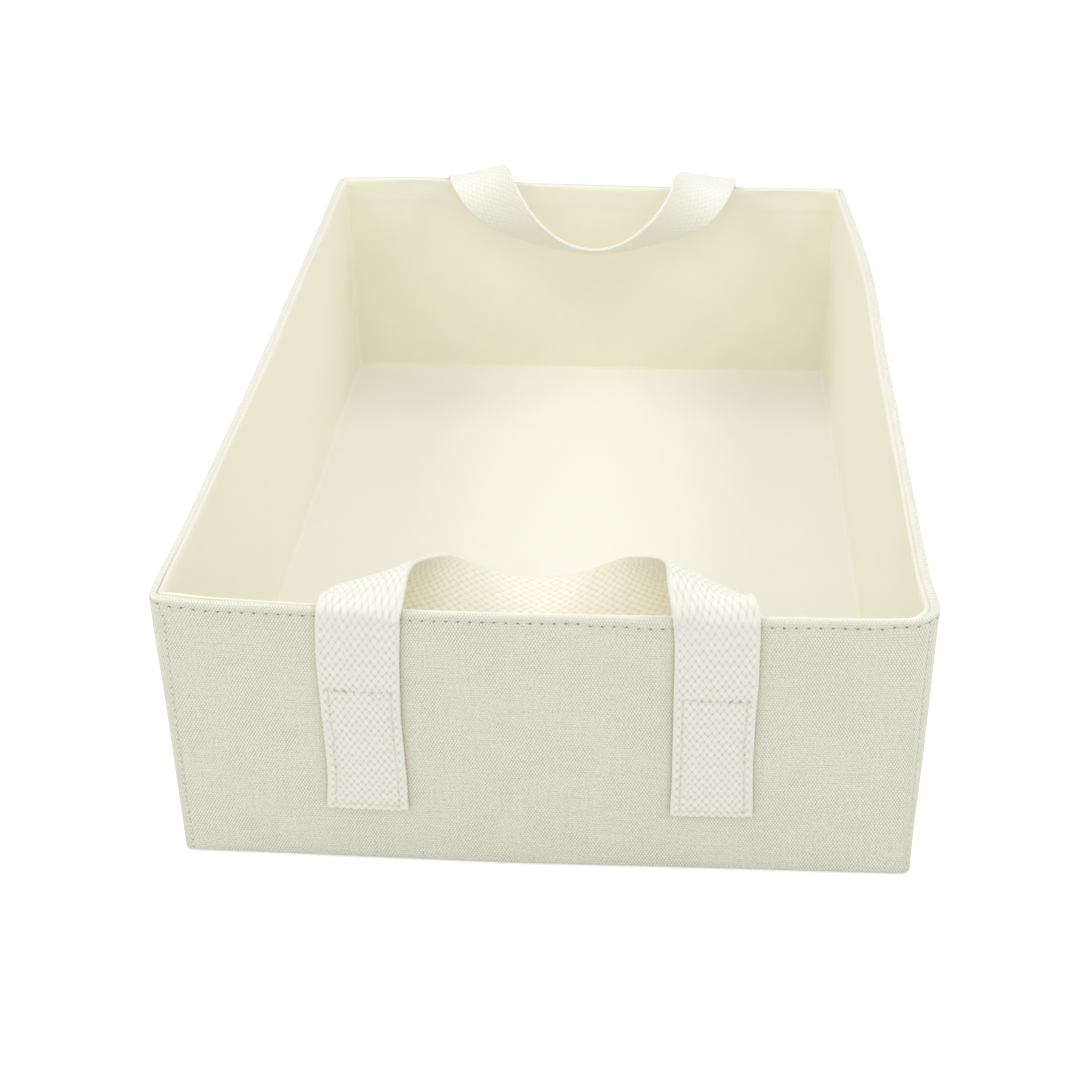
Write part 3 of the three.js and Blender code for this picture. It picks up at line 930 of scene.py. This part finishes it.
# Where each strap lies: x across the tray, v in from the end wall's outside, w up from the rim.
# A leg is given by height above the ground, x of its middle and width.
straps = {
    "front": {
        "way": 1,
        "contrast": 0.78,
        "left": {
            "leg": [(24.6, -65.3, 30.4), (29, -65.3, 30.25), (34, -65.0, 29.8), (41, -64.76, 29.3),
                    (48, -64.86, 29.0), (55, -65.0, 28.85), (69, -65.3, 28.85), (83, -65.24, 29.4),
                    (96, -65.06, 29.85), (102.7, -64.65, 29.9), (112.5, -63.9, 30)],
            "hinge": (-61.898, 4.044, 3.318), "slope": 0.497, "near": 17.601, "far": 52.953,
            "roll": 0.285, "ease": 2.17,
        },
        "right": {
            "leg": [(26.2, 62.65, 30.3), (32, 62.6, 30.1), (37, 62.5, 29.8), (44, 62.4, 29.3),
                    (51, 62.2, 29.15), (65, 62.1, 29.1), (78, 62.0, 29.3), (85, 62.1, 29.6),
                    (98, 61.94, 29.5), (104.6, 61.8, 29.6), (112.5, 61.4, 29.8)],
            "hinge": (57.625, 8.925, 5.952), "slope": -0.027, "near": 21.973, "far": 41.243,
            "roll": 0.405, "ease": 2.878,
        },
        "middle": (-3.422, 54.899, -34.504),
        "tilt": 0.282,
    },
    "back": {
        "way": -1,
        "contrast": 0.1,
        "left": {
            "leg": [(25, -64.6, 30.3), (36, -64.4, 29.5), (60, -64.5, 29.1), (90, -64.0, 29.6),
                    (112.5, -63.4, 30)],
            "hinge": (-61.319, 4.317, 6.35), "slope": 0.512, "near": 53.53, "far": 42.925,
            "roll": 0.242, "ease": 1.978,
        },
        "right": {
            "leg": [(25.5, 64.2, 30.3), (36, 64.3, 29.5), (60, 64.6, 29.1), (90, 64.5, 29.6),
                    (112.5, 64.5, 30)],
            "hinge": (64.086, -0.535, 5.1), "slope": 0.273, "near": 57.248, "far": 30.609,
            "roll": 0.14, "ease": 1.051,
        },
        "middle": (5.257, 56.232, -16.488),
        "tilt": 0.432,
    },
}


def webbingMaterial(end):
    graph = Surface(end + "Webbing")
    u, v = graph.clothPlace()
    column, turn = graph.attribute("column"), graph.attribute("turn")
    wide, long = webbing["columnPitch"] / webbing["knuckleWide"], webbing["repeat"] / webbing["knuckleLong"]
    domes = []
    for beside in (-1, 0, 1):
        near = column.rounded() + beside
        beat = turn + (near * 0.5).fraction()
        sideways, lengthways = (column - near) * wide, (beat - beat.rounded()) * long
        domes.append((1 - sideways * sideways - lengthways * lengthways).atLeast(0).root())
    high = domes[0].atLeast(domes[1]).atLeast(domes[2])
    low = domes[0].atMost(domes[1]).atMost(domes[2])
    second = domes[0] + domes[1] + domes[2] - high - low
    yarn = graph.noise(graph.join(u * 4.5, v * 0.6), 1.0, 3)
    tint = graph.noise(graph.join(column * 0.8, turn * 1.6), 1.0, 1) - 0.5
    edge = (u - webbing["width"]).absolute().fade(webbing["width"] / 2 - 1.3, webbing["width"] / 2 - 0.8)
    # Painted shade in the creases between the knuckles and in the pits where they meet, on top of the shade
    # that the relief itself gives
    depth = graph.attribute("depth") * (1 - edge)
    creaseShade = (1 - (high - second).fade(0.0, 0.42)) * depth
    pitShade = (1 - high.fade(0.1, 0.85)) * depth
    # Painted warm light and shade on the webbing's inner face, for the light that bounces under the loop
    under = graph.attribute("under")
    plain = graph.mix(under, webbing["colour"], webbing["under"])
    # Painted highlight on the knuckles' tops, mixed with random yarn and tint tone
    shine = high.fade(0.6, 1.0) * 0.5 + (yarn - 0.5) * 0.8 + tint * 0.9
    colour = graph.mix(shine.atLeast(0), plain, webbing["pale"])
    line = graph.mix(under, webbing["creaseShade"], webbing["underCreaseShade"])
    colour = graph.mix((creaseShade * (0.1 + yarn * 0.5)).atMost(1), colour, line)
    pitShadeColour = graph.mix(under, webbing["pitShade"], webbing["underCreaseShade"])
    colour = graph.mix(pitShade * (0.35 + yarn * 0.5), colour, pitShadeColour)
    thread = (u * (2 * math.pi / 0.62)).sine() * 0.5 + 0.5
    colour = graph.mix(edge * (0.1 + thread * 0.4), colour, webbing["pale"])
    cloud = graph.noise(graph.join(u, v), 0.05, 2)
    colour = graph.mix((cloud - 0.5).atLeast(0) * 0.5, colour, webbing["fleck"])
    # Painted shade in the needle holes
    colour = graph.mix(graph.attribute("hole") * 0.8, colour, webbing["hole"])
    fuzz = graph.noise(graph.join(u, v), 5.0, 3)
    height = yarn * 0.1 * mm + fuzz * 0.04 * mm + edge * thread * 0.08 * mm
    return graph.finish(colour, 0.9, graph.bump(height), sheen=0.15)


def bezier(points, share):
    a, b, c, d = (np.array(point, float) for point in points)
    t = share[:, None]
    return a * (1 - t) ** 3 + 3 * b * t * (1 - t) ** 2 + 3 * c * t**2 * (1 - t) + d * t**3


def pathLength(points):
    return np.concatenate([[0], np.cumsum(np.linalg.norm(np.diff(points, axis=0), axis=1))])


def softened(points, sigma):
    reach = math.ceil(3 * sigma)
    kernel = np.exp(-0.5 * (np.arange(-reach, reach + 1) / sigma) ** 2)
    padded = np.pad(points, ((reach, reach), (0, 0)), "edge")
    return np.stack([np.convolve(column, kernel / kernel.sum(), "valid") for column in padded.T], 1)


def strapHalf(plan, side):
    # From the leg's bottom to the loop's middle, in 1 mm steps: both edges' lines, the width, and how far
    # each place has left the wall
    half, sign = plan[side], -1 if side == "left" else 1
    legSteps, turnSteps, loopSteps = 120, 24, 90
    legZ, legX, legWidth = np.array(half["leg"]).T
    z = np.linspace(legZ[0], trayHeight - webbing["turnDrop"], legSteps)
    outside = np.full(legSteps, -webbing["legDepth"])
    leg = np.stack([through(list(zip(legZ, legX)), z), outside, z - trayHeight], 1)
    hinge, middle = np.array(half["hinge"]), np.array(plan["middle"])
    forward = np.array([0, math.cos(half["slope"]), math.sin(half["slope"])])
    reach = 0.45 * np.linalg.norm(hinge - leg[-1])
    share = np.linspace(0, 1, turnSteps)
    turn = bezier([leg[-1], leg[-1] + [0, 0, reach], hinge - forward * reach, hinge], share)
    beyond = np.linspace(0, 1, loopSteps)
    inward = np.array([sign * half["far"], 0, 0])
    loop = bezier([hinge, hinge + forward * half["near"], middle + inward, middle], beyond)
    points = np.concatenate([leg[:-1], turn, loop[1:]])
    atRim, atHinge = legSteps - 1, legSteps - 1 + turnSteps
    left = np.concatenate([np.zeros(atRim), share * share * (3 - 2 * share), np.ones(loopSteps - 1)])
    twist = np.concatenate([np.zeros(atHinge), beyond[1:] ** half["ease"]]) * math.pi / 2
    width = np.full(len(points), float(webbing["width"]))
    width[:atRim] = through(list(zip(legZ, legWidth)), z[:-1])
    length = pathLength(points)
    places = np.append(np.arange(0, length[-1], 1.0), length[-1])
    points = np.stack([np.interp(places, length, row) for row in points.T], 1)
    left, twist, width = (np.interp(places, length, numbers)[:, None] for numbers in (left, twist, width))
    ahead = unit(np.gradient(points, axis=0))
    flat = np.array([-sign, 0, 0.0])
    up = sign * unit(np.cross(ahead, flat))
    rolled = np.cos(half["roll"] * left) * flat + np.sin(half["roll"] * left) * up
    tipped = np.array([0, math.cos(plan["tilt"]), math.sin(plan["tilt"])])
    wide = np.cos(twist) * rolled + np.sin(twist) * tipped
    wide = unit(wide - (wide * ahead).sum(1)[:, None] * ahead)
    beyondTurn = places - length[atRim] - webbing["smoothReach"]
    keep = 1 - np.clip(beyondTurn / webbing["smoothFade"], 0, 1)[:, None]
    inner, outer = (points + way * wide * webbing["width"] / 2 for way in (1, -1))
    inner, outer = (edge + keep * (softened(edge, webbing["smoothing"]) - edge) for edge in (inner, outer))
    return inner, outer, width, left


def strapPath(plan):
    # Both halves in one line from the left leg's bottom to the right leg's, in even steps
    halves = [strapHalf(plan, side) for side in ("left", "right")]
    inner, outer, width, left = (np.concatenate([first, second[-2::-1]]) for first, second in zip(*halves))
    centre, wide = (inner + outer) / 2, unit(inner - outer)
    length = pathLength(centre)
    count = round(length[-1] / webbing["repeat"] * webbing["rowsForRepeat"])
    places = np.linspace(0, length[-1], count)
    grids = [np.stack([np.interp(places, length, row) for row in grid.T], 1) for grid in (centre, wide)]
    return places, *grids, np.interp(places, length, width[:, 0]), np.interp(places, length, left[:, 0])


def offRim(points, way):
    # Moves the webbing's middle surface out of the wall, which is a rounded box in section
    half, corner = webbing["rimHalf"], webbing["rimRound"]
    x, v, w = points[..., 0], points[..., 1], points[..., 2]
    height = np.clip(1 + w / trayHeight, 0, 1) ** bowShape["fade"]
    v = v - half + bowAt("front" if way > 0 else "back", x, height)
    w = w - (through(backRise, x) if way < 0 else 0)
    sideways = np.maximum(np.abs(v) - (half - corner), 0) * np.sign(v)
    upward = np.maximum(w + corner, 0)
    gap = np.hypot(sideways, upward)
    need = np.maximum(webbing["clearance"] - (gap - corner), 0)
    inside = gap < 1e-6
    moveV = np.where(inside, np.sign(v), sideways / np.maximum(gap, 1e-6)) * need
    moveW = np.where(inside, 0, upward / np.maximum(gap, 1e-6)) * need
    return points + np.stack([0 * moveV, moveV, moveW], -1)


def knuckles(across, turns, phase):
    # The webbing's lattice over one face, and how far its yarns stand up: rounded beads in staggered columns
    columns, pitch = webbing["knuckleColumns"], webbing["columnPitch"]
    column = (across / pitch + (columns - 1) / 2)[None, :] + 0 * turns[:, None]
    turn = turns[:, None] + phase + 0 * column
    shift = 0.07 * np.sin(2.7 * turn + 1.3 * column) + 0.05 * np.sin(0.9 * turn - 2.1 * column)
    beat = 0.05 * np.sin(1.1 * turn - 2.9 * column + 1) + 0.03 * np.sin(4.1 * column)
    column, turn = column + shift, turn + beat
    total = np.zeros(column.shape)
    for beside in (-1, 0, 1):
        near = np.rint(column) + beside
        beat = turn + 0.5 * (near % 2)
        dx = (column - near) * pitch / webbing["knuckleWide"]
        dy = (beat - np.rint(beat)) * webbing["repeat"] / webbing["knuckleLong"]
        real = (near >= 0) & (near < columns)
        total = np.maximum(total, np.sqrt(np.clip(1 - dx**2 - dy**2, 0, 1)) * real)
    selvedge = np.clip((np.abs(across) - (webbing["width"] / 2 - webbing["selvedge"])) / 0.5, 0, 1)[None, :]
    ridge = 0.66 + 0.2 * np.cos(2 * np.pi * turns[:, None] * webbing["repeat"] / webbing["edgePitch"])
    return column, turn, total * (1 - selvedge) + ridge * selvedge


def boxHoles(high):
    # One leg's sewn box, by rows of needle holes: across, along from the raw end, how dark and how deep
    low = stitching["boxEndInset"]
    edge = webbing["width"] / 2 - stitching["boxInset"]
    side = np.linspace(low, high, round((high - low) / stitching["boxPitch"]) + 1)
    cross = np.linspace(-edge - 0.8, edge, round(2 * edge / stitching["crossPitch"]) + 1)
    back = cross[:3] + 0.7
    rows = [(-edge, side, 0.5, 0.45), (edge, side, 0.5, 0.45)]
    rows += [(cross, low, 0.3, 0.35), (cross, high, 0.9, 0.8), (back, high - 0.3, 1.0, 0.8)]
    rng = np.random.default_rng(stitching["boxSeed"])
    made = []
    for x, y, dark, deep in rows:
        x, y = np.broadcast_arrays(x, y)
        wander = rng.normal(0, stitching["boxWander"], (2, len(x)))
        made.append((x + wander[0], y + wander[1], dark * rng.uniform(0.45, 1.15, len(x)), deep))
    return made


def makeStrap(end):
    plan = straps[end]
    way = plan["way"]
    places, centre, wide, width, left = strapPath(plan)
    total = places[-1]
    ahead = unit(np.gradient(centre, axis=0))
    wide = unit(wide - (wide * ahead).sum(1)[:, None] * ahead)
    inward = np.cross(ahead, wide)
    across = np.linspace(-0.5, 0.5, webbing["cells"] + 1) * webbing["width"]
    bumpy = np.abs(np.sin(np.pi * places / webbing["edgePitch"]))
    scale = width / webbing["width"] + 0.014 * bumpy - 0.004
    middle = centre[:, None, :] + wide[:, None, :] * (across[None, :] * scale[:, None])[..., None]
    world = middle * [1, way, 1] + [0, -way * halfLength, trayHeight]
    middle = middle + lean(world) * [0, way, 0] * (1 - left)[:, None, None]
    middle = offRim(middle, way)
    # Needle holes, darkened with painted shade, and the hollows that the sewing pulls
    fromEnd = np.minimum(places, total - places)
    hole, press = np.zeros((len(places), len(across))), np.zeros((len(places), len(across)))
    boxes = []
    for side, near in (("left", places), ("right", total - places)):
        top = trayHeight - stitching["crossDrop"] - plan[side]["leg"][0][0]
        box = boxHoles(top)
        boxes.append(box)
        here = np.flatnonzero(near < top + 6)
        for xs, ys, dark, deep in box:
            gaps = np.hypot(across[None, :, None] - xs, near[here][:, None, None] - ys)
            hole[here] = np.maximum(hole[here], (dark * np.exp(-((gaps / 0.4) ** 2))).max(-1))
            press[here] = np.maximum(press[here], deep * np.exp(-((gaps / 1.1) ** 2)).max(-1))
    stretch = between(webbing["stretch"], fromEnd)
    steps = np.diff(places) / (webbing["repeat"] * (stretch[1:] + stretch[:-1]) / 2)
    turns = np.cumsum(np.append(0, steps)) + 1
    edge = np.clip((webbing["width"] / 2 - np.abs(across)) / 1.6, 0, 1) ** 0.5
    half = webbing["thickness"] / 2 * (0.75 + 0.25 * edge)
    faces, lattices = [], []
    for sign, phase in ((-1, 0.0), (1, 0.5)):
        column, turn, relief = knuckles(across, turns, phase)
        depth = half - webbing["relief"] * (1 - relief) * plan["contrast"] - (0.45 * press if sign < 0 else 0)
        face = middle + inward[:, None, :] * (sign * depth)[..., None]
        faces.append(face * [1, way, 1] + [0, -way * halfLength, trayHeight])
        lattices.append((column, turn))
    values = {
        key: np.concatenate([outer, inner[:, ::-1]], 1)
        for key, outer, inner in zip(("column", "turn"), *lattices)
    }
    values["hole"] = np.concatenate([hole, 0 * hole], 1)
    # the inner face, which gets painted warm light and shade
    values["under"] = np.concatenate([0 * hole, 0 * hole + 1], 1)
    # The weave shows less where the webbing bends over the rim, so the painted shade in its creases and pits
    # is fainter there
    worn = plan["contrast"] * between(webbing["worn"], fromEnd)
    values["depth"] = worn[:, None] + 0 * values["hole"]
    strap = closedSlab(
        end + "Strap", *faces, across + webbing["width"], places, webbingMaterial(end), values,
        flip=way < 0, sharp=None,
    )
    face = Face(faces[0] if way > 0 else faces[0][:, ::-1], places, across)
    for box, mirrored in zip(boxes, (False, True)):
        for xs, ys, _, _ in box:
            along = total - ys[::-1] if mirrored else ys
            xs = xs[::-1] if mirrored else xs
            sewRow(face, along, xs if way > 0 else -xs, stitching["boxLift"])
    print(f"{end} strap {total:.0f} mm long, {len(strap.data.polygons) * 2} triangles")
    return strap, total


def markContact(piece, reach):
    # Where the canvas lies in the shade beside the webbing's edges
    points = np.zeros(len(piece.data.vertices) * 3, np.float32)
    piece.data.vertices.foreach_get("co", points)
    x, y, z = points.reshape(-1, 3).T / mm
    shade = np.zeros(len(x))
    for plan in straps.values():
        for side in ("left", "right"):
            legZ, legX, legWidth = np.array(plan[side]["leg"]).T
            beside = np.abs(x - np.interp(z, legZ, legX)) - np.interp(z, legZ, legWidth) / 2
            gap = np.hypot(np.maximum(beside, 0), np.maximum(legZ[0] - z, 0))
            shade = np.maximum(shade, np.exp(-gap / reach) * (y * plan["way"] < 0))
    mark(piece.data, "contactShade", shade)


frontStrap, frontStrapLength = makeStrap("front")
backStrap, backStrapLength = makeStrap("back")
legPlaces = {end: [straps[end][side]["leg"][-1][1] for side in ("left", "right")] for end in straps}
sewCanvas(canvasFace, legPlaces)
sewnThread = makeThread("sewnThread", threadMaterial())
markContact(outerCanvas, webbing["contactReach"])
print("straps ready")


# Lamps, world and floor
studio = {
    "worldStrength": 0.78,
    "sideEnergy": 4.0,
    "lampSize": 0.7,
    "sidePlaces": [(-0.95, -0.1, 1.15), (0.95, -0.05, 1.2)],
    "frontEnergy": 2.7,
    "frontPlace": (0.0, -1.5, 1.2),
    "aim": (0, 0, 0.05),
    "glow": 0.35,
    "floorColour": (0.86, 0.86, 0.85, 1),
    "floorReach": 6.0,
    "floorDrop": 0.0002,  # below the tray
}


def seenRays(graph):
    # 1 for the camera's rays, straight or by way of a mirror or glass
    paths = graph.node("ShaderNodeLightPath")
    rays = [Value(graph, paths.outputs[f"Is {kind} Ray"]) for kind in ("Camera", "Glossy", "Transmission")]
    return rays[0].atLeast(rays[1]).atLeast(rays[2])


def makeWorld():
    world = bpy.data.worlds.new("studioWorld")
    bpy.context.scene.world = world
    world.use_nodes = True
    graph = Graph(world.node_tree)
    graph.tree.nodes.clear()
    white = (1, 1, 1, 1)
    light = graph.value("ShaderNodeBackground", None, [white, studio["worldStrength"]])
    plain = graph.value("ShaderNodeBackground", None, [white, 1])
    both = graph.value("ShaderNodeMixShader", None, [seenRays(graph), light, plain])
    graph.node("ShaderNodeOutputWorld", None, [both])


def makeLamp(name, place, size, energy):
    data = bpy.data.lights.new(name, "AREA")
    data.shape = "DISK"
    data.size = size
    data.energy = energy
    lamp = linked(name, data)
    lamp.location = place
    lamp.rotation_mode = "QUATERNION"
    lamp.rotation_quaternion = (Vector(place) - Vector(studio["aim"])).to_track_quat("Z", "Y")


def makeFloor():
    graph = Surface("studioFloor")
    plain = graph.value("ShaderNodeBsdfDiffuse", None, {"Color": studio["floorColour"]})
    inputs = {"Color": (1, 1, 1, 1), "Strength": seenRays(graph) * studio["glow"]}
    glow = graph.value("ShaderNodeEmission", None, inputs)
    both = graph.value("ShaderNodeAddShader", None, [plain, glow])
    graph.tree.links.new(both.socket, graph.output.inputs["Surface"])
    mesh = bpy.data.meshes.new("studioFloor")
    reach = studio["floorReach"]
    corners = [(-reach, -reach), (reach, -reach), (reach, reach), (-reach, reach)]
    mesh.from_pydata([(x, y, -studio["floorDrop"]) for x, y in corners], [], [(0, 1, 2, 3)])
    mesh.materials.append(graph.material)
    floor = linked("studioFloor", mesh)


makeWorld()
for index, place in enumerate(studio["sidePlaces"]):
    makeLamp(f"sideLamp{index}", place, studio["lampSize"], studio["sideEnergy"])
makeLamp("frontLamp", studio["frontPlace"], studio["lampSize"], studio["frontEnergy"])
makeFloor()
bpy.context.scene.view_settings.view_transform = "Standard"
print("studio ready")


# The tray's pieces and the thread on the tray body, with the parts that they replace hidden; the straps get
# their parts hidden and their placing baked in, and no body
for piece, slotName, nodes in (
    (outerCanvas, "canvas", ["outer_front", "outer_back", "outer_left", "outer_right"]),
    (outerBase, "canvas", ["outer_base"]),
    (liningWalls, "lining", ["lining_front", "lining_back", "lining_left", "lining_right"]),
    (liningFloor, "lining", ["lining_floor"]),
    *((piece, "board", ["board_" + name.removesuffix("Board")]) for name, piece in boards.items()),
):
    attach(piece, "tray")
    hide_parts(*nodes)
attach(sewnThread, "tray")
for strap, end, way in ((frontStrap, "front", 1), (backStrap, "back", -1)):
    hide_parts(f"{end}_leg_left", f"{end}_leg_right", f"{end}_loop")
    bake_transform(strap)
